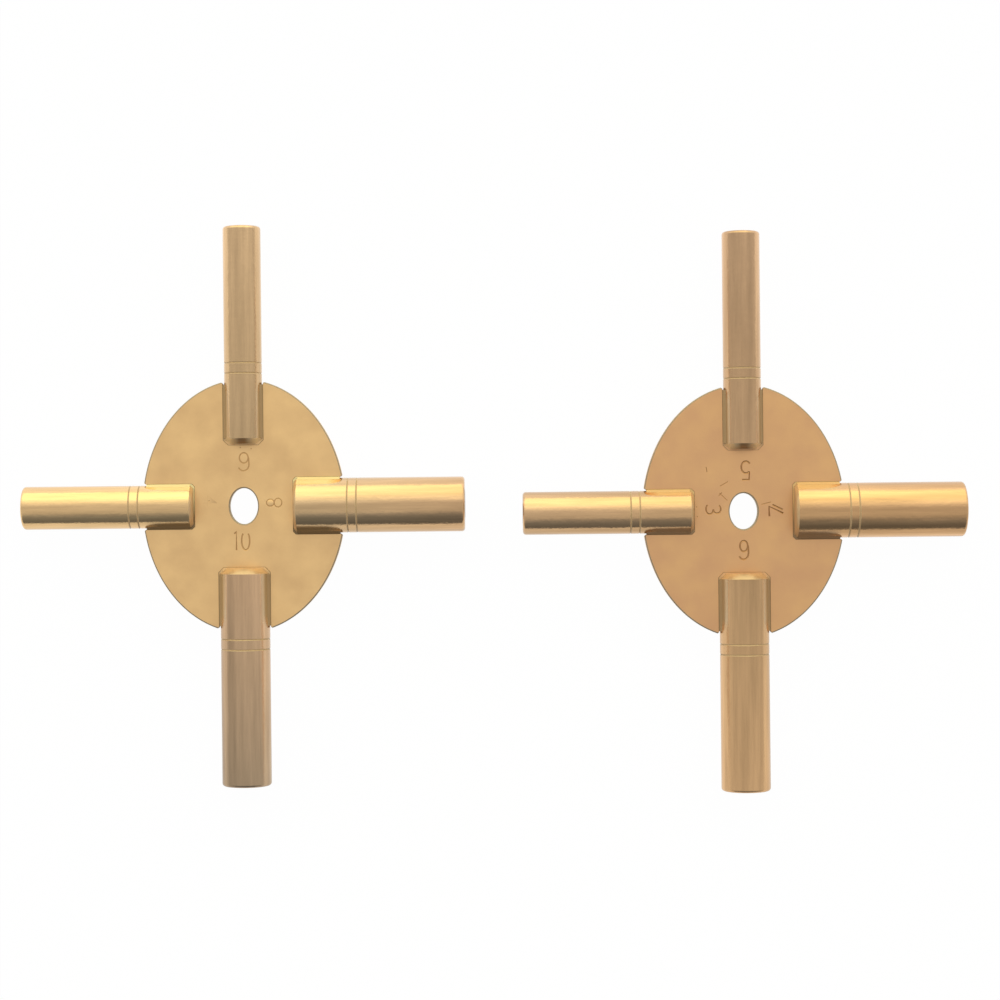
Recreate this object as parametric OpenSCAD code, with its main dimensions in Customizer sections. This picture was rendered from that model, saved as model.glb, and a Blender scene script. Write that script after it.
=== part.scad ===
// Set of two flat clock-winding keys, one with even and one with odd socket sizes.
// Each key is an oval brass plate with a notch on every side. A turned brass barrel
// sits in each notch, held by a seam of braze, and ends in a square winding socket.
// The keys lie flat, +Z up, and the origin is under the middle of the set.

/* [Set] */
// Gap between the two keys where their barrels point at each other
key_gap = 10.1; // [2:0.1:40]
// How far the odd key lies below the even one
key_drop = 1.8; // [0:0.1:5]

/* [Plate] */
// Width of the oval plate
plate_w = 35.4; // [33:0.1:42]
// Height of the oval plate
plate_h = 44.3; // [40:0.1:52]
// Thickness of the plate
plate_t = 1.6; // [1:0.1:3]
// Width of the oval hanging hole
hole_w = 4.9; // [3:0.1:8]
// Height of the oval hanging hole
hole_h = 6.3; // [3:0.1:10]
// Radius on the plate's corners at the mouth of each notch
mouth_r = 0.3; // [0.1:0.1:1.5]

/* [Barrels] */
// Diameter of the left barrel of each key
left_d = 7.5; // [6.4:0.1:9]
// Diameter of the top barrel of each key
top_d = 6.6; // [6.4:0.1:9]
// Diameter of the right barrel of each key
right_d = 9.6; // [7.6:0.1:10]
// Diameter of the bottom barrel of each key
bottom_d = 8.6; // [8:0.1:10]
// Length of the left and right barrels
side_len = 29.8; // [26:0.1:36]
// Length of the top and bottom barrels
upright_len = 38; // [33:0.1:44]
// Distance from the plate's centre to the inner end of the left and right barrels
side_seat = 8.8; // [7.5:0.1:10]
// Distance from the plate's centre to the inner end of the top and bottom barrels
upright_seat = 10.9; // [9:0.1:13]
// Chamfer round the inner end of the left and right barrels
side_chamfer = 0.5; // [0.3:0.1:1.5]
// Chamfer round the inner end of the top and bottom barrels
upright_chamfer = 0.9; // [0.3:0.1:1.5]
// Radius round the outer end of a barrel
end_r = 0.55; // [0.1:0.05:0.7]

/* [Grooves] */
// Distance from the inner end of a left or right barrel to its first groove
side_groove = 9.4; // [8:0.1:11]
// Distance between the two grooves of a left or right barrel
side_groove_gap = 1.6; // [0.8:0.1:2]
// Distance from the inner end of a top or bottom barrel to its first groove
upright_groove = 12.3; // [11:0.1:14]
// Distance between the two grooves of a top or bottom barrel
upright_groove_gap = 1.8; // [0.8:0.1:2.4]
// Width of a turned groove
groove_w = 0.3; // [0.1:0.05:0.5]
// Depth of a turned groove
groove_depth = 0.12; // [0.05:0.01:0.2]

/* [Sockets] */
// Size of the square socket numbered 0, across its flats
socket_zero = 2.5; // [2:0.05:2.6]
// Growth of the square from one size number to the next
socket_growth = 0.25; // [0.2:0.01:0.26]
// Depth of the square socket
socket_depth = 12; // [8:0.5:13]
// How far the drilled hole runs on past the square
drill_past = 2; // [0.5:0.1:3]
// How much wider the drilled hole is than the square's flats
drill_over = 0.2; // [0.05:0.05:0.3]
// Bevel that leads into the mouth of the socket
lead_in = 0.3; // [0.1:0.05:0.4]

/* [Braze] */
// Gap between a barrel and its notch that the braze fills
braze_gap = 0.2; // [0.1:0.01:0.3]
// How far the braze stops short of the rounded mouth of its notch
braze_setback = 0.1; // [0.1:0.1:2]
// How high the fillets of braze climb a barrel's sides, as a share of the angle to a tangent fillet
braze_climb = 0.7; // [0.5:0.05:0.8]

/* [Hidden] */
$fn = 96;

// Overlap that keeps a cut clear of the face it starts from
cut_clear = 1;
// Half of the angle at the tip of a twist drill
drill_tip_half_angle = 59;

// Centres of the two keys, which lie level on their thickest barrels
key_half_pitch = side_seat + side_len + key_gap / 2;
mid_z = max(left_d, top_d, right_d, bottom_d) / 2;
EVEN = [-key_half_pitch, key_drop / 2, mid_z];
ODD = [key_half_pitch, -key_drop / 2, mid_z];

// Sizes that two places share: the barrel's length, seat, chamfer, first groove and groove gap,
// then the plate's size along and across the barrel.
SIDE = [side_len, side_seat, side_chamfer, side_groove, side_groove_gap, plate_w, plate_h];
UPRIGHT = [upright_len, upright_seat, upright_chamfer, upright_groove, upright_groove_gap,
           plate_h, plate_w];

// A place for a barrel: its turn about the plate's centre, its diameter and the sizes it shares
LEFT = [180, left_d, SIDE];
TOP = [90, top_d, UPRIGHT];
RIGHT = [0, right_d, SIDE];
BOTTOM = [270, bottom_d, UPRIGHT];
PLACES = [LEFT, TOP, RIGHT, BOTTOM];

function turn(place) = place[0];
function barrel_r(place) = place[1] / 2;
function barrel_len(place) = place[2][0];
function seat(place) = place[2][1];
function chamfer(place) = place[2][2];
function grooves(place) = [place[2][3], place[2][3] + place[2][4]];
function plate_along(place) = place[2][5];
function plate_across(place) = place[2][6];
function notch_half(place) = barrel_r(place) + braze_gap;

// Distance from the plate's centre to its rim, along a barrel's axis, at a distance u beside it
function rim(place, u) = plate_along(place) / 2 * sqrt(1 - pow(2 * u / plate_across(place), 2));

// Distance from the plate's centre to where the sides of a notch start to round off
function mouth(place) = rim(place, notch_half(place) + mouth_r) - mouth_r;

// Seen along a barrel: the edge of its notch, the angle at which a straight fillet from that edge would
// touch the barrel as a tangent, and the point on the barrel that the braze climbs to
function notch_edge(place) = [notch_half(place), plate_t / 2];
function tangent_angle(place) =
    let (edge = notch_edge(place)) atan2(edge.y, edge.x) + acos(barrel_r(place) / norm(edge));
function braze_top(place) =
    let (angle = braze_climb * tangent_angle(place)) barrel_r(place) * [cos(angle), sin(angle)];

// Size of a square socket across its flats, from its size number
function socket_side(number) = socket_zero + socket_growth * number;

module oval(width, height) {
    scale([1, height / width]) circle(d = width);
}

// Outline of the seat for a barrel that points along +X, from its inner end out to a given reach
module seat_outline(place, reach) {
    start = seat(place) - braze_gap;
    half = notch_half(place);
    cut = chamfer(place);
    polygon([
        [start, cut - half], [start + cut, -half], [reach, -half],
        [reach, half], [start + cut, half], [start, half - cut]
    ]);
}

// The bit of the plate that is rounded off on one side of a notch's mouth
module mouth_corner(place) {
    translate([mouth(place), notch_half(place)])
        difference() {
            square([plate_along(place), mouth_r]);
            translate([0, mouth_r]) circle(r = mouth_r);
        }
}

module notch(place) {
    seat_outline(place, plate_along(place) / 2 + cut_clear);
    mouth_corner(place);
    mirror([0, 1]) mouth_corner(place);
}

// Half section of a turned barrel, with its inner end at the origin and its axis along +Y
module barrel_section(place) {
    r = barrel_r(place);
    len = barrel_len(place);
    cut = chamfer(place);
    difference() {
        square([r, len]);
        translate([r, 0]) polygon([[0, 0], [-cut, 0], [0, cut]]);
        translate([r - end_r, len - end_r])
            difference() {
                square(end_r + cut_clear);
                circle(r = end_r);
            }
        for (at = grooves(place))
            translate([r, at])
                polygon([[0, -groove_w / 2], [-groove_depth, 0], [0, groove_w / 2]]);
    }
}

// Turned outside of a barrel, in its place on a plate that is centred on the origin
module barrel_blank(place) {
    rotate([0, 0, turn(place)])
        translate([seat(place), 0, 0])
            rotate([0, 90, 0])
                rotate_extrude() barrel_section(place);
}

// Square socket with its drilled hole and lead-in, cut down from a mouth at the origin
module socket_cut(number) {
    side = socket_side(number);
    drill_r = (side + drill_over) / 2;
    drill_depth = socket_depth + drill_past;
    translate([-side / 2, -side / 2, -socket_depth])
        cube([side, side, socket_depth + cut_clear]);
    translate([0, 0, -drill_depth])
        cylinder(r = drill_r, h = drill_depth + cut_clear);
    translate([0, 0, -drill_depth])
        mirror([0, 0, 1])
            cylinder(r1 = drill_r, r2 = 0, h = drill_r / tan(drill_tip_half_angle));
    translate([0, 0, -lead_in])
        cylinder(r1 = drill_r, r2 = drill_r + lead_in, h = lead_in);
}

module plate(key) {
    color("#d8b27a")
        translate(key)
            linear_extrude(plate_t, center = true)
                difference() {
                    oval(plate_w, plate_h);
                    oval(hole_w, hole_h);
                    for (place = PLACES)
                        rotate(turn(place)) notch(place);
                }
}

module barrel(key, place, number) {
    color("#cfa65f")
        translate(key)
            difference() {
                barrel_blank(place);
                rotate([0, 0, turn(place)])
                    translate([seat(place) + barrel_len(place), 0, 0])
                        rotate([0, 90, 0]) socket_cut(number);
            }
}

// Section across the braze beside a barrel: the notch's gap between the plate's faces, then straight
// fillets that lean in onto the barrel. Their lines run on to just inside it before the barrel is cut out.
module braze_section(place) {
    edge = notch_edge(place);
    top = braze_top(place);
    tip = top + braze_gap * (top - edge) / norm(top - edge);
    difference() {
        polygon([
            [edge.x, -edge.y], edge, tip, [-tip.x, tip.y],
            [-edge.x, edge.y], -edge, -tip, [tip.x, -tip.y]
        ]);
        circle(r = barrel_r(place));
    }
}

module braze(key, place) {
    foot = seat(place) + chamfer(place) + braze_setback;
    reach = mouth(place) - braze_setback;
    color("#b08a52")
        translate(key) {
            difference() {
                rotate([0, 0, turn(place)])
                    linear_extrude(plate_t, center = true) seat_outline(place, foot);
                barrel_blank(place);
            }
            rotate([0, 0, turn(place)])
                translate([foot, 0, 0])
                    rotate([90, 0, 90])
                        linear_extrude(reach - foot) braze_section(place);
        }
}

plate(EVEN);  // even_plate
barrel(EVEN, LEFT, 4);  // barrel_no_4
barrel(EVEN, TOP, 6);  // barrel_no_6
barrel(EVEN, RIGHT, 8);  // barrel_no_8
barrel(EVEN, BOTTOM, 10);  // barrel_no_10
braze(EVEN, LEFT);  // braze_no_4
braze(EVEN, TOP);  // braze_no_6
braze(EVEN, RIGHT);  // braze_no_8
braze(EVEN, BOTTOM);  // braze_no_10
plate(ODD);  // odd_plate
barrel(ODD, LEFT, 3);  // barrel_no_3
barrel(ODD, TOP, 5);  // barrel_no_5
barrel(ODD, RIGHT, 7);  // barrel_no_7
barrel(ODD, BOTTOM, 9);  // barrel_no_9
braze(ODD, LEFT);  // braze_no_3
braze(ODD, TOP);  // braze_no_5
braze(ODD, RIGHT);  // braze_no_7
braze(ODD, BOTTOM);  // braze_no_9
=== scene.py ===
from collections import namedtuple
from math import cos, pi, radians, sin, sqrt

import bmesh
import bpy
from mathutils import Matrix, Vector


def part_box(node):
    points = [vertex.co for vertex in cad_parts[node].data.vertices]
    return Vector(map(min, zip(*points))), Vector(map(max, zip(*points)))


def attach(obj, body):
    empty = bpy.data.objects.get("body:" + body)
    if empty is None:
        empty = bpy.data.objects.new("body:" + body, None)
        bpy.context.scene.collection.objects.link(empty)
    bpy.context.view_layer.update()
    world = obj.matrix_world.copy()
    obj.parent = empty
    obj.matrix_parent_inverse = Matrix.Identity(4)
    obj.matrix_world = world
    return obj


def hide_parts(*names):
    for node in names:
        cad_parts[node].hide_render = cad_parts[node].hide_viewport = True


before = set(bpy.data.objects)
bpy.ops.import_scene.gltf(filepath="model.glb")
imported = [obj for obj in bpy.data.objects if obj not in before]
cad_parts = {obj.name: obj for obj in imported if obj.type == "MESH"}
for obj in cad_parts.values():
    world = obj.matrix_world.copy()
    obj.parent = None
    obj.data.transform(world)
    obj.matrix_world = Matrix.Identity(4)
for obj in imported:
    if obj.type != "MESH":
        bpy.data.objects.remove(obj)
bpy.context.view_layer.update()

# Sizes are in metres, written as millimetres times MM
MM = 0.001

# The size number at each place of a key, and the turn of each place about the plate's centre
KEYS = {
    "even": {"left": 4, "top": 6, "right": 8, "bottom": 10},
    "odd": {"left": 3, "top": 5, "right": 7, "bottom": 9},
}
TURNS = {"right": 0, "top": 90, "left": 180, "bottom": 270}

# Plates
PLATE_W = 35.4 * MM
PLATE_H = 44.3 * MM
HOLE_W = 4.9 * MM
HOLE_H = 6.3 * MM
RIM_SOFT = 0.22 * MM
MOUTH_R = 0.3 * MM
SEAM = 0.2 * MM
NOTCH_SOFT = 0.06 * MM

# Barrels
END_R = 0.55 * MM
EDGE_SOFT = 0.07 * MM
GROOVE_W = 0.3 * MM
GROOVE_DEPTH = 0.12 * MM
SIDE_CHAMFER = 0.5 * MM
SIDE_GROOVES = (9.4 * MM, 11.0 * MM)
UPRIGHT_CHAMFER = 0.9 * MM
UPRIGHT_GROOVES = (12.3 * MM, 14.1 * MM)

# Sockets: a side is SOCKET_ZERO plus SOCKET_GROWTH for each size number, and DRILL_TIP is a share of the
# drill's radius
SOCKET_ZERO = 2.5 * MM
SOCKET_GROWTH = 0.25 * MM
SOCKET_DEPTH = 12 * MM
DRILL_PAST = 2 * MM
DRILL_OVER = 0.2 * MM
DRILL_TIP = 0.6
LEAD_IN = 0.3 * MM

# How far a cutter stands past the face that it starts from
CUT_CLEAR = 1 * MM
# Points this close are merged, and points this close to a level lie on it
WELD = 0.001 * MM
ON_LEVEL = 0.005 * MM
# A face looks along an axis if more than this of its normal lies along it
FACING = 0.9
# Sides of the round forms
PLATE_SIDES = 192
HOLE_SIDES = 96
BARREL_SIDES = 96
SOCKET_SIDES = 64

# Widths of the patterns in the brass and the braze
CLOUD_W = 5 * MM
GRAIN_W = 0.3 * MM
BLOTCH_W = 0.7 * MM
HAND_WAVE_W = 2.2 * MM
STREAK_W = 0.8 * MM
BAND_W = 2.4 * MM
# Pace of streaks and bands along a barrel, as a share of their pace across it
STREAK_ALONG = 0.06
BAND_ALONG = 0.03
# Levels of the noise between which streaks and bands go from dark to light, and their two shades
STREAK_LEVELS = (0.3, 0.7)
STREAK_SHADES = (0.88, 1.09)
BAND_LEVELS = (0.35, 0.65)
BAND_SHADES = (0.87, 1.13)

# Tone across a barrel, in shares of its radius from its axis as seen from above: where the painted highlight
# on the flanks sets in and is full, where the film of braze inside the notch sets in, where the film on an
# upright barrel goes from a painted highlight at its edge to its full tone, and where the painted shade in
# the middle of a top barrel's inner end thins out into a painted highlight
PAINTED_FLANK_HIGHLIGHT = (0.64, 0.8)
SIDE_FILM = (0.7, 0.82)
UPRIGHT_FILM = (0.7, 0.76)
PAINTED_HIGHLIGHT_SPAN_ON_FILM = (0.81, 0.87)
PAINTED_END_SHADE_FADES = (0.15, 0.7)
# Length over which the film fades out before the notch's mouth
FILM_FADE = 2.2 * MM
# Where the crust sets in along an upright seam, in chamfers from the barrel's inner end
CRUST_STARTS = (0.3, 1.3)
# How much of the braze and of a barrel's inner end shows as bare metal, and how rough that end is
BRAZE_METAL = 0.3
END_METAL = 0.45
END_ROUGHNESS = 0.3

# A barrel: among its sizes, its seat is the distance from the plate's centre to its inner end
Barrel = namedtuple("Barrel", "number turn centre seat length radius chamfer grooves")


def colour(hex_value):
    """An sRGB hex colour as the linear colour that a shader socket takes."""
    channels = [int(hex_value[at:at + 2], 16) / 255 for at in (1, 3, 5)]
    linear = [c / 12.92 if c <= 0.04045 else ((c + 0.055) / 1.055) ** 2.4 for c in channels]
    return (*linear, 1.0)


def add(tree, kind, inputs, **settings):
    """Adds a node. Each input takes a value, or a link from another node's output."""
    node = tree.nodes.new(kind)
    for name, value in settings.items():
        setattr(node, name, value)
    for name, value in inputs.items():
        if isinstance(value, bpy.types.NodeSocket):
            tree.links.new(value, node.inputs[name])
        else:
            node.inputs[name].default_value = value
    return node


def new_material(name):
    """A material without nodes, and its node tree."""
    material = bpy.data.materials.new(name)
    material.use_nodes = True
    material.node_tree.nodes.clear()
    return material, material.node_tree


# Materials

def rolled_brass(name, light, dark):
    """Rolled and finely rubbed brass sheet: satin, so it shows broad soft light and no clear image."""
    material, tree = new_material(name)
    place = add(tree, "ShaderNodeTexCoord", {})
    cloud = add(tree, "ShaderNodeTexNoise", {"Vector": place.outputs["Object"], "Scale": 1 / CLOUD_W,
                                             "Detail": 4.0})
    grain = add(tree, "ShaderNodeTexNoise", {"Vector": place.outputs["Object"], "Scale": 1 / GRAIN_W,
                                             "Detail": 2.0})
    patch = add(tree, "ShaderNodeMapRange", {"Value": cloud.outputs["Fac"], "From Min": 0.3, "From Max": 0.7})
    tint = add(tree, "ShaderNodeMix", {"Factor": patch.outputs["Result"], "A": colour(dark),
                                       "B": colour(light)}, data_type="RGBA")
    polish = add(tree, "ShaderNodeMapRange", {"Value": cloud.outputs["Fac"], "To Min": 0.4, "To Max": 0.5})
    relief = add(tree, "ShaderNodeBump", {"Height": grain.outputs["Fac"], "Strength": 0.2,
                                          "Distance": 0.05 * MM})
    brass = add(tree, "ShaderNodeBsdfPrincipled", {
        "Base Color": tint.outputs["Result"], "Roughness": polish.outputs["Result"],
        "Normal": relief.outputs["Normal"], "Metallic": 1.0})
    add(tree, "ShaderNodeOutputMaterial", {"Surface": brass.outputs["BSDF"]})
    return material


def off_axis(tree, place, barrel):
    """How far a point lies from a barrel's axis as seen from above, with a sign for the flank and without."""
    axis = "X" if is_upright(barrel) else "Y"
    split = add(tree, "ShaderNodeSeparateXYZ", {"Vector": place.outputs["Object"]})
    aside = add(tree, "ShaderNodeMath", {0: split.outputs[axis], 1: getattr(barrel.centre, axis.lower())},
                operation="SUBTRACT")
    distance = add(tree, "ShaderNodeMath", {0: aside.outputs["Value"]}, operation="ABSOLUTE")
    return aside.outputs["Value"], distance.outputs["Value"]


def along_axis(tree, place, barrel):
    """How far a point lies in the direction of a barrel, and how far the plate's centre does."""
    direction = pointing(barrel)
    reach = add(tree, "ShaderNodeVectorMath", {0: place.outputs["Object"], 1: direction},
                operation="DOT_PRODUCT")
    return reach.outputs["Value"], barrel.centre.dot(direction)


def braze_tone(tree, aside, barrel, tones):
    """A barrel's braze tone by flank: on a side barrel, painted shade at the front and a painted highlight at
    the back.
    """
    flank = add(tree, "ShaderNodeMapRange", {"Value": aside, "From Min": -barrel.radius / 2,
                                             "From Max": barrel.radius / 2})
    tone = add(tree, "ShaderNodeMix", {"Factor": flank.outputs["Result"], "A": colour(tones[0]),
                                       "B": colour(tones[1])}, data_type="RGBA")
    return tone.outputs["Result"]


def lengthwise_noise(tree, place, barrel, width, along, detail):
    """A noise with this width across a barrel, drawn out along it by a small pace there."""
    stretch = (1, along, 1) if is_upright(barrel) else (along, 1, 1)
    drawn = add(tree, "ShaderNodeMapping", {"Vector": place.outputs["Object"], "Scale": stretch})
    noise = add(tree, "ShaderNodeTexNoise", {"Vector": drawn.outputs["Vector"], "Scale": 1 / width,
                                             "Detail": detail, "Roughness": 0.65})
    return noise.outputs["Fac"]


def turned_brass(barrel, finish, braze_tones_painted_by_flank):
    """Drawn brass rod, turned and polished by hand: a clear but wavy reflection, with soft bands and fine
    streaks along the rod, and flanks brightened by a painted highlight. A dull film of braze lies on its
    flanks inside the notch, with painted shade and a painted highlight in its tones on a side barrel, and a
    painted highlight at its edge on an upright one."""
    material, tree = new_material(f"turned_brass_no_{barrel.number}")
    place = add(tree, "ShaderNodeTexCoord", {})
    reach, middle = along_axis(tree, place, barrel)
    outward = add(tree, "ShaderNodeMapRange", {"Value": reach, "From Min": middle + barrel.seat,
                                               "From Max": middle + barrel.seat + barrel.length})
    tone = add(tree, "ShaderNodeMix", {"Factor": outward.outputs["Result"], "A": colour(finish.inner),
                                       "B": colour(finish.mouth)}, data_type="RGBA")
    streak = lengthwise_noise(tree, place, barrel, STREAK_W, STREAK_ALONG, detail=4.0)
    band = lengthwise_noise(tree, place, barrel, BAND_W, BAND_ALONG, detail=1.0)
    aside, distance = off_axis(tree, place, barrel)
    rod = tone.outputs["Result"]
    # The flanks are brightened by a painted highlight, strongest on the bottom barrels
    flanks = [share * barrel.radius for share in PAINTED_FLANK_HIGHLIGHT]
    shades = ((streak, STREAK_LEVELS, STREAK_SHADES), (band, BAND_LEVELS, BAND_SHADES),
              (distance, flanks, (1.0, finish.rubbed)))
    for value, (low, high), (dark, light) in shades:
        shade = add(tree, "ShaderNodeMapRange", {"Value": value, "From Min": low, "From Max": high,
                                                 "To Min": dark, "To Max": light})
        shaded = add(tree, "ShaderNodeMix", {"Factor": 1.0, "A": rod, "B": shade.outputs["Result"]},
                     data_type="RGBA", blend_type="MULTIPLY")
        rod = shaded.outputs["Result"]
    film_from, film_full = UPRIGHT_FILM if is_upright(barrel) else SIDE_FILM
    spread = add(tree, "ShaderNodeMapRange", {"Value": distance, "From Min": film_from * barrel.radius,
                                              "From Max": film_full * barrel.radius})
    mouth = middle + notch_reach(barrel) - MOUTH_R
    inside = add(tree, "ShaderNodeMapRange", {"Value": reach, "From Min": mouth - FILM_FADE,
                                              "From Max": mouth, "To Min": 1.0, "To Max": 0.0})
    film = add(tree, "ShaderNodeMath", {0: spread.outputs["Result"], 1: inside.outputs["Result"]},
               operation="MULTIPLY")
    # On a side barrel the film's front flank takes painted shade and its back flank a painted highlight
    film_tone = braze_tone(tree, aside, barrel, braze_tones_painted_by_flank)
    # On an upright barrel the film's edge nearest the axis is a painted highlight
    if is_upright(barrel):
        edge_end, full_from = PAINTED_HIGHLIGHT_SPAN_ON_FILM
        full = add(tree, "ShaderNodeMapRange", {"Value": distance, "From Min": edge_end * barrel.radius,
                                                "From Max": full_from * barrel.radius})
        film_with_edge_highlight = add(tree, "ShaderNodeMix", {"Factor": full.outputs["Result"], "A": colour(PAINTED_HIGHLIGHT_ON_FILM),
                                            "B": film_tone}, data_type="RGBA")
        film_tone = film_with_edge_highlight.outputs["Result"]
    tint = add(tree, "ShaderNodeMix", {"Factor": film.outputs["Value"], "A": rod, "B": film_tone},
               data_type="RGBA")
    bare = add(tree, "ShaderNodeMapRange", {"Value": film.outputs["Value"], "To Min": 1.0,
                                            "To Max": BRAZE_METAL})
    polish = add(tree, "ShaderNodeMapRange", {"Value": streak, "To Min": finish.rough,
                                              "To Max": finish.smooth})
    hand = add(tree, "ShaderNodeTexNoise", {"Vector": place.outputs["Object"], "Scale": 1 / HAND_WAVE_W,
                                            "Detail": 5.0, "Roughness": 0.68})
    waves = add(tree, "ShaderNodeBump", {"Height": hand.outputs["Fac"], "Strength": 0.3,
                                         "Distance": 0.2 * MM})
    relief = add(tree, "ShaderNodeBump", {"Height": streak, "Strength": 0.16,
                                          "Distance": 0.05 * MM, "Normal": waves.outputs["Normal"]})
    brass = add(tree, "ShaderNodeBsdfPrincipled", {
        "Base Color": tint.outputs["Result"], "Roughness": polish.outputs["Result"],
        "Normal": relief.outputs["Normal"], "Metallic": bare.outputs["Result"]})
    add(tree, "ShaderNodeOutputMaterial", {"Surface": brass.outputs["BSDF"]})
    return material


def blotches(tree, place):
    """Uneven patches: their pattern, and the normals of their slight relief."""
    blotch = add(tree, "ShaderNodeTexNoise", {"Vector": place.outputs["Object"], "Scale": 1 / BLOTCH_W,
                                              "Detail": 4.0})
    relief = add(tree, "ShaderNodeBump", {"Height": blotch.outputs["Fac"], "Strength": 0.2,
                                          "Distance": 0.1 * MM})
    return blotch.outputs["Fac"], relief.outputs["Normal"]


def crusted_braze(barrel, tones, flush_tone):
    """Braze as the torch left it, dull under its crust of flux, with a tone for either flank of a barrel:
    painted shade on a side barrel's front flank and a painted highlight on its back one. At the inner end of
    an upright barrel it is filed flush with the plate."""
    material, tree = new_material(f"crusted_braze_no_{barrel.number}")
    place = add(tree, "ShaderNodeTexCoord", {})
    aside = off_axis(tree, place, barrel)[0]
    tone = braze_tone(tree, aside, barrel, tones)
    if is_upright(barrel):
        reach, middle = along_axis(tree, place, barrel)
        first, full = (middle + barrel.seat + share * barrel.chamfer for share in CRUST_STARTS)
        crust = add(tree, "ShaderNodeMapRange", {"Value": reach, "From Min": first, "From Max": full})
        filed = add(tree, "ShaderNodeMix", {"Factor": crust.outputs["Result"], "A": colour(flush_tone),
                                            "B": tone}, data_type="RGBA")
        tone = filed.outputs["Result"]
    braze = add(tree, "ShaderNodeBsdfPrincipled", {
        "Base Color": tone, "Roughness": 0.5, "Normal": blotches(tree, place)[1], "Metallic": BRAZE_METAL})
    add(tree, "ShaderNodeOutputMaterial", {"Surface": braze.outputs["BSDF"]})
    return material


def dull_brass(name, light, dark, roughness, metal=1.0):
    """Brass that no polish reaches, on a sawn edge or an inner end, in a punch mark, a socket or a groove:
    blotchy and matt, and where heat or dirt has left a skin only partly bare metal."""
    material, tree = new_material(name)
    place = add(tree, "ShaderNodeTexCoord", {})
    blotch, normal = blotches(tree, place)
    tint = add(tree, "ShaderNodeMix", {"Factor": blotch, "A": colour(dark), "B": colour(light)},
               data_type="RGBA")
    brass = add(tree, "ShaderNodeBsdfPrincipled", {
        "Base Color": tint.outputs["Result"], "Roughness": roughness, "Normal": normal, "Metallic": metal})
    add(tree, "ShaderNodeOutputMaterial", {"Surface": brass.outputs["BSDF"]})
    return material


def end_brass_with_painted_light(barrel, painted_shade_tone, bright):
    """Brass of a top barrel's inner end: painted shade in its middle, a painted highlight at its corners."""
    material, tree = new_material(f"sooted_brass_no_{barrel.number}")
    place = add(tree, "ShaderNodeTexCoord", {})
    distance = off_axis(tree, place, barrel)[1]
    # Where the painted shade in the middle gives way to the painted highlight at the corners
    thick, clear = (share * barrel.radius for share in PAINTED_END_SHADE_FADES)
    rubbed = add(tree, "ShaderNodeMapRange", {"Value": distance, "From Min": thick, "From Max": clear})
    tint = add(tree, "ShaderNodeMix", {"Factor": rubbed.outputs["Result"], "A": colour(painted_shade_tone),
                                       "B": colour(bright)}, data_type="RGBA")
    brass = add(tree, "ShaderNodeBsdfPrincipled", {"Base Color": tint.outputs["Result"],
                                                   "Roughness": END_ROUGHNESS, "Metallic": END_METAL})
    add(tree, "ShaderNodeOutputMaterial", {"Surface": brass.outputs["BSDF"]})
    return material


# The paper's glow where it is seen, and where the brass mirrors it: at the front, at the back, and how far
# either way from the middle those two lie. PAPER_GLOW is the glow's share of the look, and the rest is matt.
PAPER_SEEN = 1.01
PAPER_FRONT = 0.78
PAPER_BACK = 1.12
PAPER_REACH = 20 * MM
PAPER_GLOW = 0.97


def white_paper():
    """Matt white floor. It is lit evenly to white where it is seen, and brighter to the back in the brass."""
    material, tree = new_material("white_paper")
    place = add(tree, "ShaderNodeTexCoord", {})
    split = add(tree, "ShaderNodeSeparateXYZ", {"Vector": place.outputs["Object"]})
    mirrored = add(tree, "ShaderNodeMapRange", {
        "Value": split.outputs["Y"], "From Min": -PAPER_REACH, "From Max": PAPER_REACH,
        "To Min": PAPER_FRONT, "To Max": PAPER_BACK})
    path = add(tree, "ShaderNodeLightPath", {})
    level = add(tree, "ShaderNodeMix", {"Factor": path.outputs["Is Camera Ray"],
                                        "A": mirrored.outputs["Result"], "B": PAPER_SEEN})
    seen = add(tree, "ShaderNodeMath", {0: path.outputs["Is Camera Ray"], 1: path.outputs["Is Glossy Ray"]},
               operation="ADD")
    shown = add(tree, "ShaderNodeMath", {0: seen.outputs["Value"], 1: path.outputs["Is Transmission Ray"]},
                operation="ADD")
    share = add(tree, "ShaderNodeMapRange", {"Value": shown.outputs["Value"], "To Max": PAPER_GLOW})
    matt = add(tree, "ShaderNodeBsdfDiffuse", {"Color": colour("#e8e8e8")})
    white = add(tree, "ShaderNodeEmission", {"Color": colour("#ffffff"), "Strength": level.outputs["Result"]})
    both = add(tree, "ShaderNodeMixShader", {"Fac": share.outputs["Result"], 1: matt.outputs["BSDF"],
                                             2: white.outputs["Emission"]})
    add(tree, "ShaderNodeOutputMaterial", {"Surface": both.outputs["Shader"]})
    return material


# Modelling steps

def choose(piece):
    """Leaves only this piece selected and active, in object mode."""
    bpy.ops.object.select_all(action="DESELECT")
    piece.select_set(True)
    bpy.context.view_layer.objects.active = piece


def pick_edges(piece, test):
    """In edit mode, selects the edges whose two ends pass a test."""
    bpy.ops.mesh.select_mode(type="EDGE")
    bpy.ops.mesh.select_all(action="DESELECT")
    mesh = bmesh.from_edit_mesh(piece.data)
    for edge in mesh.edges:
        edge.select_set(test(edge.verts[0].co) and test(edge.verts[1].co))
    bmesh.update_edit_mesh(piece.data)


def pick_faces(piece, test):
    """In edit mode, selects the faces whose middle and normal pass a test."""
    bpy.ops.mesh.select_mode(type="FACE")
    bpy.ops.mesh.select_all(action="DESELECT")
    mesh = bmesh.from_edit_mesh(piece.data)
    for face in mesh.faces:
        face.select_set(test(face.calc_center_median(), face.normal))
    bmesh.update_edit_mesh(piece.data)


def near(value, target):
    """Whether a coordinate lies on a target."""
    return abs(value - target) < ON_LEVEL


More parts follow.
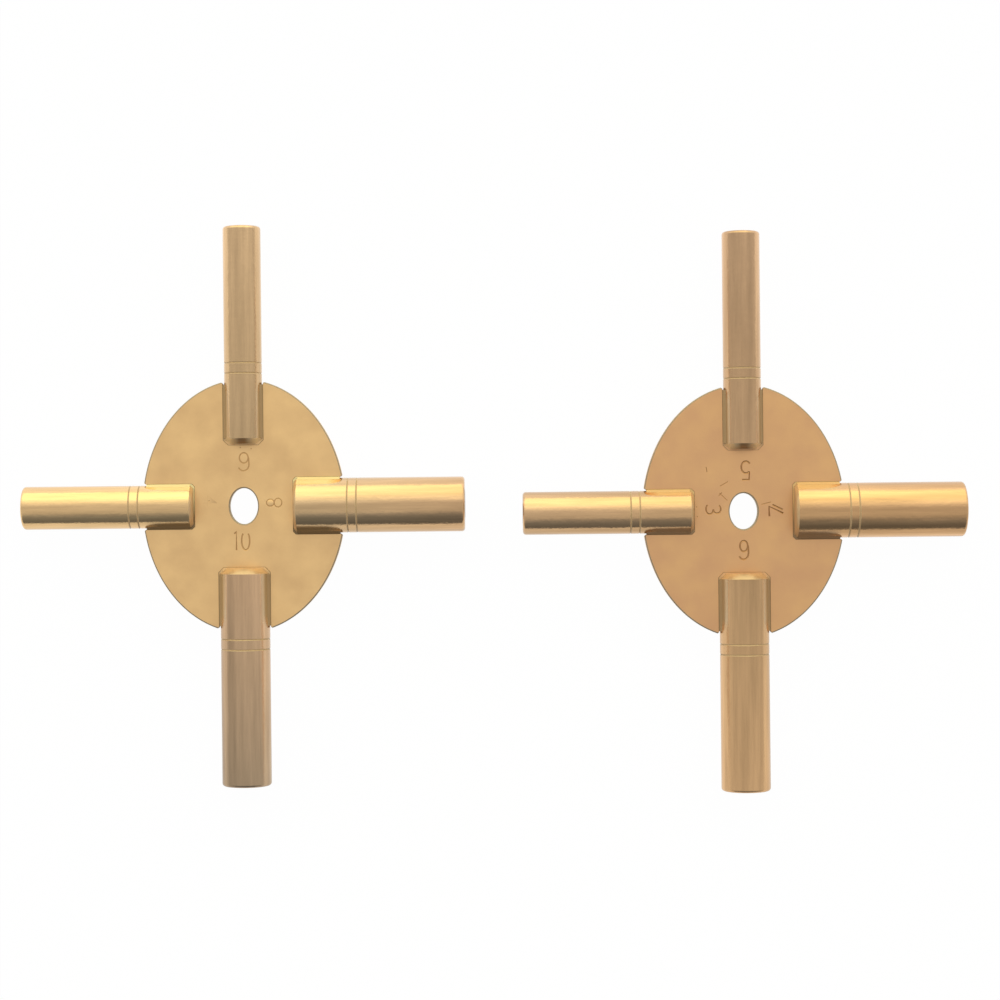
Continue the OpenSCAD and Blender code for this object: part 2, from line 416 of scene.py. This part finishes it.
def use_modifier(piece, kind, **settings):
    """Adds a modifier with these settings and applies it."""
    choose(piece)
    modifier = piece.modifiers.new(kind.lower(), kind)
    for name, value in settings.items():
        setattr(modifier, name, value)
    bpy.ops.object.modifier_apply(modifier=modifier.name)


def cut_away(piece, cutter, crosses_itself=False):
    """Takes a cutter's shape out of a piece. The cut faces get the cutter's material, if it has one."""
    use_modifier(piece, "BOOLEAN", operation="DIFFERENCE", solver="EXACT", object=cutter,
                 material_mode="TRANSFER", use_self=crosses_itself)
    bpy.data.objects.remove(cutter)


def set_in_place(piece, name, location, rotation=(0, 0, 0)):
    """Names a piece, puts it in its place and works the place into its mesh."""
    piece.name = name
    piece.data.name = name
    piece.location = location
    piece.rotation_euler = rotation
    choose(piece)
    bpy.ops.object.transform_apply(location=True, rotation=True, scale=True)


def finish_mesh(piece):
    """Cleans the mesh and shades it smooth between crisp edges."""
    choose(piece)
    bpy.ops.object.mode_set(mode="EDIT")
    bpy.ops.mesh.select_all(action="SELECT")
    bpy.ops.mesh.remove_doubles(threshold=WELD)
    bpy.ops.object.mode_set(mode="OBJECT")
    bpy.ops.object.shade_smooth_by_angle(angle=radians(32))
    use_modifier(piece, "WEIGHTED_NORMAL", keep_sharp=True)


# Places of plates, barrels and notches

def key_centre(numbers):
    """Middle of a plate, where the axes of its side and upright barrels cross."""
    top_low, top_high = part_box(f"barrel_no_{numbers['top']}")
    left_low, left_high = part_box(f"barrel_no_{numbers['left']}")
    return Vector(((top_low.x + top_high.x) / 2, (left_low.y + left_high.y) / 2,
                   (left_low.z + left_high.z) / 2))


def barrel_at(centre, place, number):
    """The barrel with this number, with its sizes and its place from its CAD solid."""
    low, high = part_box(f"barrel_no_{number}")
    turn = radians(TURNS[place])
    direction = Vector((cos(turn), sin(turn), 0))
    near_end, far_end = sorted((corner - centre).dot(direction) for corner in (low, high))
    side = place in ("left", "right")
    return Barrel(number, turn, centre, near_end, far_end - near_end, (high.z - low.z) / 2,
                  SIDE_CHAMFER if side else UPRIGHT_CHAMFER,
                  SIDE_GROOVES if side else UPRIGHT_GROOVES)


def is_upright(barrel):
    """Whether a barrel is the top or the bottom one of its key."""
    return abs(sin(barrel.turn)) > 0.5


def pointing(barrel):
    """Direction from a barrel's inner end to its mouth."""
    return Vector((cos(barrel.turn), sin(barrel.turn), 0))


def notch_reach(barrel):
    """Distance from a plate's centre to the rim beside a notch, past its rounded mouth."""
    along, across = (PLATE_H, PLATE_W) if is_upright(barrel) else (PLATE_W, PLATE_H)
    beside = barrel.radius + SEAM + MOUTH_R
    return along / 2 * sqrt(1 - (2 * beside / across) ** 2)


# Barrels

def ring_cut(level):
    """In edit mode, cuts a ring of edges round a piece at a level."""
    bpy.ops.mesh.select_all(action="SELECT")
    bpy.ops.mesh.bisect(plane_co=(0, 0, level), plane_no=(0, 0, 1))


def socket_cutters(barrel, lining):
    """The square, the drilled hole with its tip and the lead-in, for a barrel that stands on its end."""
    side = SOCKET_ZERO + SOCKET_GROWTH * barrel.number
    drill_r = (side + DRILL_OVER) / 2
    mouth = barrel.length
    floor = mouth - SOCKET_DEPTH
    drill_end = floor - DRILL_PAST
    bpy.ops.mesh.primitive_cube_add(size=1, location=(0, 0, (floor + mouth + CUT_CLEAR) / 2))
    bpy.context.object.scale = (side, side, mouth + CUT_CLEAR - floor)
    square = bpy.context.object
    bpy.ops.mesh.primitive_cylinder_add(vertices=SOCKET_SIDES, radius=drill_r,
                                        depth=mouth + CUT_CLEAR - drill_end,
                                        location=(0, 0, (drill_end + mouth + CUT_CLEAR) / 2))
    drill = bpy.context.object
    bpy.ops.object.mode_set(mode="EDIT")
    pick_faces(drill, lambda middle, normal: normal.z < -FACING)
    bpy.ops.mesh.extrude_region_move(TRANSFORM_OT_translate={"value": (0, 0, -drill_r * DRILL_TIP)})
    bpy.ops.mesh.merge(type="CENTER")
    bpy.ops.object.mode_set(mode="OBJECT")
    bpy.ops.mesh.primitive_cone_add(vertices=SOCKET_SIDES, radius1=drill_r, radius2=drill_r + 2 * LEAD_IN,
                                    depth=2 * LEAD_IN, location=(0, 0, mouth))
    lead = bpy.context.object
    for cutter in (square, drill, lead):
        cutter.data.materials.append(lining)
    return square, drill, lead


def turned_barrel(barrel, brass, end_brass, groove_brass, socket_brass):
    """A barrel turned about Z on its inner end: chamfer, rounded mouth, two grooves and the socket."""
    r, length = barrel.radius, barrel.length
    bpy.ops.object.select_all(action="DESELECT")
    bpy.ops.mesh.primitive_cylinder_add(vertices=BARREL_SIDES, radius=r, depth=length,
                                        location=(0, 0, length / 2))
    piece = bpy.context.object
    bpy.ops.object.transform_apply(location=True)
    for material in (brass, end_brass, groove_brass):
        piece.data.materials.append(material)
    bpy.ops.object.mode_set(mode="EDIT")
    pick_edges(piece, lambda point: near(point.z, 0))
    bpy.ops.mesh.bevel(offset=barrel.chamfer, segments=1)
    for level in (0, barrel.chamfer):
        pick_edges(piece, lambda point: near(point.z, level))
        bpy.ops.mesh.bevel(offset=EDGE_SOFT, segments=2)
    pick_edges(piece, lambda point: near(point.z, length))
    bpy.ops.mesh.bevel(offset=END_R, segments=7)
    for middle in barrel.grooves:
        for level in (middle - GROOVE_W / 2, middle, middle + GROOVE_W / 2):
            ring_cut(level)
        pick_edges(piece, lambda point: near(point.z, middle))
        shrink = (r - GROOVE_DEPTH) / r
        bpy.ops.transform.resize(value=(shrink, shrink, 1), center_override=(0, 0, middle))
    pick_faces(piece, lambda point, normal: point.z < barrel.chamfer)
    piece.active_material_index = 1
    bpy.ops.object.material_slot_assign()
    pick_faces(piece, lambda point, normal: any(abs(point.z - middle) < GROOVE_W / 2
                                                for middle in barrel.grooves))
    piece.active_material_index = 2
    bpy.ops.object.material_slot_assign()
    bpy.ops.object.mode_set(mode="OBJECT")
    for cutter in socket_cutters(barrel, socket_brass):
        cut_away(piece, cutter)
    set_in_place(piece, f"turned_barrel_{barrel.number}", barrel.centre + pointing(barrel) * barrel.seat,
                 (0, pi / 2, barrel.turn))
    finish_mesh(piece)
    return piece


# Plates

def notch_cutter(barrel, thickness, sawn_brass):
    """A T-shaped cutter: the slot for a barrel and a bar past the rim, with rounded inner corners. It flares
    at the plate's faces, which takes the sharpness off the notch's edges."""
    half = barrel.radius + SEAM
    start = barrel.seat - SEAM
    far = PLATE_H / 2 + CUT_CLEAR
    shoulder = notch_reach(barrel)
    bpy.ops.object.select_all(action="DESELECT")
    bpy.ops.mesh.primitive_cube_add(size=1, location=((start + far) / 2, 0, 0))
    cutter = bpy.context.object
    cutter.scale = (far - start, 2 * half, thickness + 2 * CUT_CLEAR)
    bpy.ops.object.transform_apply(location=True, scale=True)
    bpy.ops.object.mode_set(mode="EDIT")
    bpy.ops.mesh.select_all(action="SELECT")
    bpy.ops.mesh.bisect(plane_co=(shoulder, 0, 0), plane_no=(1, 0, 0))
    for side in (1, -1):
        pick_faces(cutter, lambda middle, normal: normal.y * side > FACING and middle.x > shoulder)
        bpy.ops.mesh.extrude_region_move(TRANSFORM_OT_translate={"value": (0, side * PLATE_W / 4, 0)})
    pick_edges(cutter, lambda point: near(point.x, shoulder) and near(abs(point.y), half))
    bpy.ops.mesh.bevel(offset=MOUTH_R, segments=6)
    for side in (1, -1):
        pick_edges(cutter, lambda point: near(point.x, start) and near(point.y, side * half))
        bpy.ops.mesh.bevel(offset=barrel.chamfer, segments=1)
    flare = CUT_CLEAR + NOTCH_SOFT
    wider = (1 + flare / (shoulder - start), 1 + flare / half, 1)
    for side in (1, -1):
        bpy.ops.mesh.select_all(action="SELECT")
        bpy.ops.mesh.bisect(plane_co=(0, 0, side * (thickness / 2 - NOTCH_SOFT)), plane_no=(0, 0, 1))
        pick_faces(cutter, lambda middle, normal: normal.z * side > FACING)
        bpy.ops.transform.resize(value=wider, center_override=(shoulder, 0, 0))
    bpy.ops.object.mode_set(mode="OBJECT")
    cutter.rotation_euler = (0, 0, barrel.turn)
    cutter.data.materials.append(sawn_brass)
    return cutter


# Degrees from one point of an arc to the next
ARC_STEP = 20


def oval_arc(x, y, half_w, half_h, start, end):
    """Points along an arc of an oval, from one angle in degrees to another."""
    steps = max(3, round(abs(end - start) / ARC_STEP))
    angles = [radians(start + (end - start) * step / steps) for step in range(steps + 1)]
    return [(x + half_w * cos(a), y + half_h * sin(a)) for a in angles]


# Strokes of the number punches, in a box one unit high that is centred on the origin, and the box's width
FIGURE_W = 0.56
SIX = [[(-0.24, -0.22)] + oval_arc(0.02, 0.14, 0.28, 0.33, 180, 30), oval_arc(0, -0.2, 0.22, 0.27, 0, 360)]
FIGURES = {
    "0": [oval_arc(0, 0, 0.22, 0.48, 130, 410)],
    "1": [[(-0.1, 0.36), (0, 0.48), (0, -0.48)]],
    "3": [oval_arc(0, 0.24, 0.23, 0.24, 150, -90), oval_arc(0, -0.24, 0.27, 0.24, 90, -150)],
    "4": [[(0.12, -0.48), (0.12, 0.48), (-0.28, -0.16), (0.28, -0.16)]],
    "5": [[(0.22, 0.47), (-0.17, 0.47), (-0.2, 0.08)] + oval_arc(0, -0.17, 0.26, 0.31, 125, -145)],
    "6": SIX,
    "7": [[(-0.26, 0.45), (0.22, 0.47), (-0.12, -0.48)], [(0.3, 0.24), (0.06, -0.44)]],
    "8": [oval_arc(0, 0.24, 0.2, 0.24, 0, 360), oval_arc(0, -0.24, 0.25, 0.24, 0, 360)],
    "9": [[(-x, -y) for x, y in stroke] for stroke in SIX],
}

# Marks in a plate, in millimetres from its centre: punched figures, fine scratches and small dents
Figure = namedtuple("Figure", "text place x y width height depth")
FIGURE_MARKS = {
    "even": [
        Figure("6", "top", 0.07, 7.75, 1.95, 3.35, 0.05),
        Figure("8", "right", 5.3, 0.55, 1.7, 2.8, 0.04),
        Figure("10", "bottom", -0.55, -6.05, 1.8, 3.4, 0.06),
        Figure("4", "left", -5.9, 1.0, 1.9, 2.6, 0.005),
    ],
    "odd": [
        Figure("5", "top", 0.45, 7.1, 1.75, 3.4, 0.09),
        Figure("7", "right", 5.65, 0.0, 2.0, 2.6, 0.1),
        Figure("9", "bottom", -0.05, -6.8, 1.75, 3.5, 0.09),
        Figure("3", "left", -5.3, 0.4, 1.8, 2.7, 0.06),
    ],
}
SCRATCHES = {
    "even": [],
    "odd": [
        [(-4.1, 4.4), (-2.7, 5.2)],
        [(-4.2, 3.2), (-2.85, 1.9)],
        [(-4.35, 2.7), (-3.8, 3.3)],
        [(-6.5, 7.8), (-6.35, 6.9)],
        [(3.1, 1.15), (4.75, 1.55)],
    ],
}
DENTS = {
    "even": [(-0.6, 10.25), (1.3, 10.05), (-6.15, 0.95)],
    "odd": [(-8.3, 0.8), (-8.2, -0.9)],
}
# Radii of the tubes that cut the marks, and the depths of scratches and dents, in millimetres. A dent is as
# long as its tube's radius.
PUNCH_R = 0.2
SCRATCH_R = 0.09
SCRATCH_DEPTH = 0.04
DENT_SIZE = 0.15
DENT_DEPTH = 0.06
# Distance between the figures of a number, in the units of their box
FIGURE_PITCH = 0.5

# A stroke is closed if its ends are this close, in millimetres
CLOSED_GAP = 0.01

Stroke = namedtuple("Stroke", "points radius depth")


def figure_strokes(figure):
    """Strokes of one number, its top turned towards the plate's centre."""
    turn = radians(TURNS[figure.place] + 90)
    first = -FIGURE_PITCH * (len(figure.text) - 1) / 2
    strokes = []
    for index, character in enumerate(figure.text):
        for line in FIGURES[character]:
            placed = []
            for x, y in line:
                across = (x + first + index * FIGURE_PITCH) * figure.width / FIGURE_W
                up = y * figure.height
                placed.append((figure.x + across * cos(turn) - up * sin(turn),
                               figure.y + across * sin(turn) + up * cos(turn)))
            strokes.append(Stroke(placed, PUNCH_R, figure.depth))
    return strokes


def plate_strokes(key):
    """Every mark in a plate, as strokes in millimetres."""
    strokes = [stroke for figure in FIGURE_MARKS[key] for stroke in figure_strokes(figure)]
    strokes += [Stroke(line, SCRATCH_R, SCRATCH_DEPTH) for line in SCRATCHES[key]]
    strokes += [Stroke([(x, y), (x + DENT_SIZE, y)], DENT_SIZE, DENT_DEPTH) for x, y in DENTS[key]]
    return strokes


def stroke_cutter(strokes, top, material):
    """Round tubes along strokes, each sunk to its depth below a level top, as one cutter."""
    path = bpy.data.curves.new("strokes", "CURVE")
    path.dimensions = "3D"
    path.bevel_depth = PUNCH_R * MM
    path.bevel_resolution = 2
    path.use_fill_caps = True
    for stroke in strokes:
        closed = (Vector(stroke.points[0]) - Vector(stroke.points[-1])).length < CLOSED_GAP
        points = stroke.points[:-1] if closed else stroke.points
        spline = path.splines.new("POLY")
        spline.points.add(len(points) - 1)
        spline.use_cyclic_u = closed
        height = top + (stroke.radius - stroke.depth) * MM
        for point, (x, y) in zip(spline.points, points):
            point.co = (x * MM, y * MM, height, 1)
            point.radius = stroke.radius / PUNCH_R
    cutter = bpy.data.objects.new("strokes", path)
    bpy.context.scene.collection.objects.link(cutter)
    choose(cutter)
    bpy.ops.object.convert(target="MESH")
    cutter = bpy.context.object
    bpy.ops.object.mode_set(mode="EDIT")
    bpy.ops.mesh.select_all(action="SELECT")
    bpy.ops.mesh.remove_doubles(threshold=WELD)
    bpy.ops.mesh.normals_make_consistent(inside=False)
    bpy.ops.object.mode_set(mode="OBJECT")
    cutter.data.materials.append(material)
    return cutter


def punched_plate(key, centre, barrels, brass, sawn_brass, punched_brass):
    """The oval plate: cylinder, hole, softened rims, notches, then the punched figures and other marks."""
    low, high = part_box(f"{key}_plate")
    thickness = high.z - low.z
    bpy.ops.object.select_all(action="DESELECT")
    bpy.ops.mesh.primitive_cylinder_add(vertices=PLATE_SIDES, radius=0.5, depth=1)
    piece = bpy.context.object
    piece.scale = (PLATE_W, PLATE_H, thickness)
    bpy.ops.object.transform_apply(scale=True)
    for material in (brass, sawn_brass):
        piece.data.materials.append(material)
    bpy.ops.mesh.primitive_cylinder_add(vertices=HOLE_SIDES, radius=0.5, depth=thickness + 2 * CUT_CLEAR)
    hole = bpy.context.object
    hole.scale = (HOLE_W, HOLE_H, 1)
    hole.data.materials.append(sawn_brass)
    cut_away(piece, hole)
    use_modifier(piece, "BEVEL", width=RIM_SOFT, segments=3, limit_method="ANGLE", angle_limit=radians(55),
                 material=1)
    for barrel in barrels:
        cut_away(piece, notch_cutter(barrel, thickness, sawn_brass))
    cut_away(piece, stroke_cutter(plate_strokes(key), thickness / 2, punched_brass), True)
    set_in_place(piece, f"punched_plate_{key}", centre)
    finish_mesh(piece)
    return piece


# Floor, light and camera

FLOOR_SIZE = 6000 * MM


def white_floor():
    """The sheet of paper that the keys lie on."""
    bpy.ops.object.select_all(action="DESELECT")
    bpy.ops.mesh.primitive_plane_add(size=FLOOR_SIZE, location=(0, 0, 0))
    floor = bpy.context.object
    floor.name = "white_floor"
    floor.data.materials.append(white_paper())


# The soft studio light from the front of the set to the back: the Y part of its direction, its level and tint
LIGHT_STEPS = [
    (-1.0, 0.18, "#e6f0ff"), (-0.8, 0.26, "#e6f0ff"), (-0.65, 0.35, "#eef4ff"), (-0.45, 0.56, "#ffffff"),
    (-0.25, 0.64, "#ffffff"), (0.05, 0.63, "#ffffff"), (0.25, 0.78, "#ffffff"), (0.55, 1.25, "#fffff0"),
    (0.75, 1.6, "#ffffe1"), (1.0, 1.7, "#ffffe1"),
]
LIGHT_PEAK = 1.7


def studio_light():
    """Soft light that is brightest from the back, and fades towards the front."""
    world = bpy.data.worlds.new("soft_studio")
    bpy.context.scene.world = world
    world.use_nodes = True
    tree = world.node_tree
    tree.nodes.clear()
    place = add(tree, "ShaderNodeTexCoord", {})
    split = add(tree, "ShaderNodeSeparateXYZ", {"Vector": place.outputs["Generated"]})
    level = add(tree, "ShaderNodeMapRange", {"Value": split.outputs["Y"], "From Min": -1.0, "From Max": 1.0})
    ramp = add(tree, "ShaderNodeValToRGB", {"Fac": level.outputs["Result"]})
    stops = ramp.color_ramp.elements
    while len(stops) < len(LIGHT_STEPS):
        stops.new(0.5)
    for stop, (y, strength, tint) in zip(stops, LIGHT_STEPS):
        stop.position = (y + 1) / 2
        stop.color = [channel * strength / LIGHT_PEAK for channel in colour(tint)[:3]] + [1]
    light = add(tree, "ShaderNodeBackground", {"Color": ramp.outputs["Color"], "Strength": LIGHT_PEAK})
    backdrop = add(tree, "ShaderNodeBackground", {"Color": colour("#ffffff")})
    path = add(tree, "ShaderNodeLightPath", {})
    both = add(tree, "ShaderNodeMixShader", {
        "Fac": path.outputs["Is Camera Ray"], 1: light.outputs["Background"],
        2: backdrop.outputs["Background"]})
    add(tree, "ShaderNodeOutputWorld", {"Surface": both.outputs["Shader"]})


# The camera's place, its height over the plates' middle, its turn in degrees, its sensor and lens in
# millimetres, and the nearest distance that it shows
CAMERA_X = 1.1 * MM
CAMERA_Y = 1.5 * MM
CAMERA_HEIGHT = 420 * MM
CAMERA_TURN = -0.6
CAMERA_SENSOR = 36
CAMERA_LENS = 86.4
CAMERA_NEAREST = 10 * MM


def photo_camera(level):
    """Looks straight down on the keys from where the photograph was taken."""
    bpy.ops.object.camera_add(location=(CAMERA_X, CAMERA_Y, level + CAMERA_HEIGHT),
                              rotation=(0, 0, radians(CAMERA_TURN)))
    camera = bpy.context.object
    camera.data.sensor_width = CAMERA_SENSOR
    camera.data.lens = CAMERA_LENS
    camera.data.clip_start = CAMERA_NEAREST
    bpy.context.scene.camera = camera


# The whole set

# Finish of each barrel's brass: its tone at the inner end and at the mouth, the range of its roughness, and
# how much brighter a painted highlight makes its flanks
Finish = namedtuple("Finish", "inner mouth rough smooth rubbed")
FINISHES = {
    3: Finish("#e1b786", "#e3bc8e", 0.2, 0.08, 1.0),
    4: Finish("#f4cd95", "#f6ce96", 0.22, 0.1, 1.0),
    5: Finish("#d4ad82", "#d4ae86", 0.3, 0.16, 1.0),
    6: Finish("#d2b185", "#e4bf91", 0.3, 0.16, 1.0),
    7: Finish("#e4b682", "#e4b683", 0.26, 0.14, 1.0),
    8: Finish("#eac694", "#e2b98a", 0.2, 0.08, 1.0),
    9: Finish("#d7af80", "#e2b786", 0.3, 0.16, 1.25),
    10: Finish("#dcb68e", "#b59c7e", 0.3, 0.16, 1.35),
}
# Tones of the braze on a barrel's flanks: front and back of a side barrel, left and right of an upright one.
# On a side barrel the dark front tone is painted shade and the light back tone a painted highlight
SIDE_BRAZE_PAINTED_LIGHT = {"even": ("#8f7550", "#f6e5ab"), "odd": ("#a58763", "#e8c386")}
UPRIGHT_BRAZE = ("#b59a72", "#b59a72")
# Tone of the braze that is filed flush with a plate, at the inner ends of its upright barrels
FLUSH_BRAZE = {"even": "#f4cb92", "odd": "#eab985"}
# Tone of the painted highlight along the upper edge of the film on an upright barrel
PAINTED_HIGHLIGHT_ON_FILM = "#dcc09a"


def build():
    """Makes and dresses both keys, then sets them on the floor under the light and the camera."""
    plate_brass = {
        "even": rolled_brass("rolled_yellow_brass", "#ffd69a", "#f0c68e"),
        "odd": rolled_brass("rolled_red_brass", "#f0bf88", "#e7b484"),
    }
    sawn_brass = dull_brass("sawn_rim_brass", "#bda98b", "#a89577", 0.5)
    socket_brass = dull_brass("drilled_socket_brass", "#a58553", "#6f5531", 0.5)
    punched_brass = {
        "even": dull_brass("punched_yellow_brass", "#deb078", "#bd8f5c", 0.35),
        "odd": dull_brass("punched_red_brass", "#cc9a68", "#a4754a", 0.35),
    }
    end_brass = dull_brass("heat_dulled_brass", "#e2c090", "#cfac7e", END_ROUGHNESS, END_METAL)
    groove_brass = dull_brass("dirty_groove_brass", "#e2c496", "#ccae82", 0.4, 0.3)
    for key, numbers in KEYS.items():
        centre = key_centre(numbers)
        barrels = [barrel_at(centre, place, number) for place, number in numbers.items()]
        plate = punched_plate(key, centre, barrels, plate_brass[key], sawn_brass, punched_brass[key])
        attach(plate, f"{key}_key")
        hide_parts(f"{key}_plate")
        for place, barrel in zip(numbers, barrels):
            # Side barrels' braze tones hold painted shade at the front and a painted highlight at the back
            braze_tones_painted_by_flank = UPRIGHT_BRAZE if is_upright(barrel) else SIDE_BRAZE_PAINTED_LIGHT[key]
            brass = turned_brass(barrel, FINISHES[barrel.number], braze_tones_painted_by_flank)
            # A top barrel's inner end gets painted shade in its middle and a painted highlight at its corners
            inner_brass = end_brass_with_painted_light(barrel, "#9c7850", "#ffe6b4") if place == "top" else end_brass
            piece = turned_barrel(barrel, brass, inner_brass, groove_brass, socket_brass)
            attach(piece, f"{key}_key")
            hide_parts(f"barrel_no_{barrel.number}")
            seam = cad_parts[f"braze_no_{barrel.number}"]
            seam.data.materials.clear()
            seam.data.materials.append(crusted_braze(barrel, braze_tones_painted_by_flank, FLUSH_BRAZE[key]))
    white_floor()
    studio_light()
    photo_camera(centre.z)
    bpy.context.scene.view_settings.view_transform = "Standard"


build()
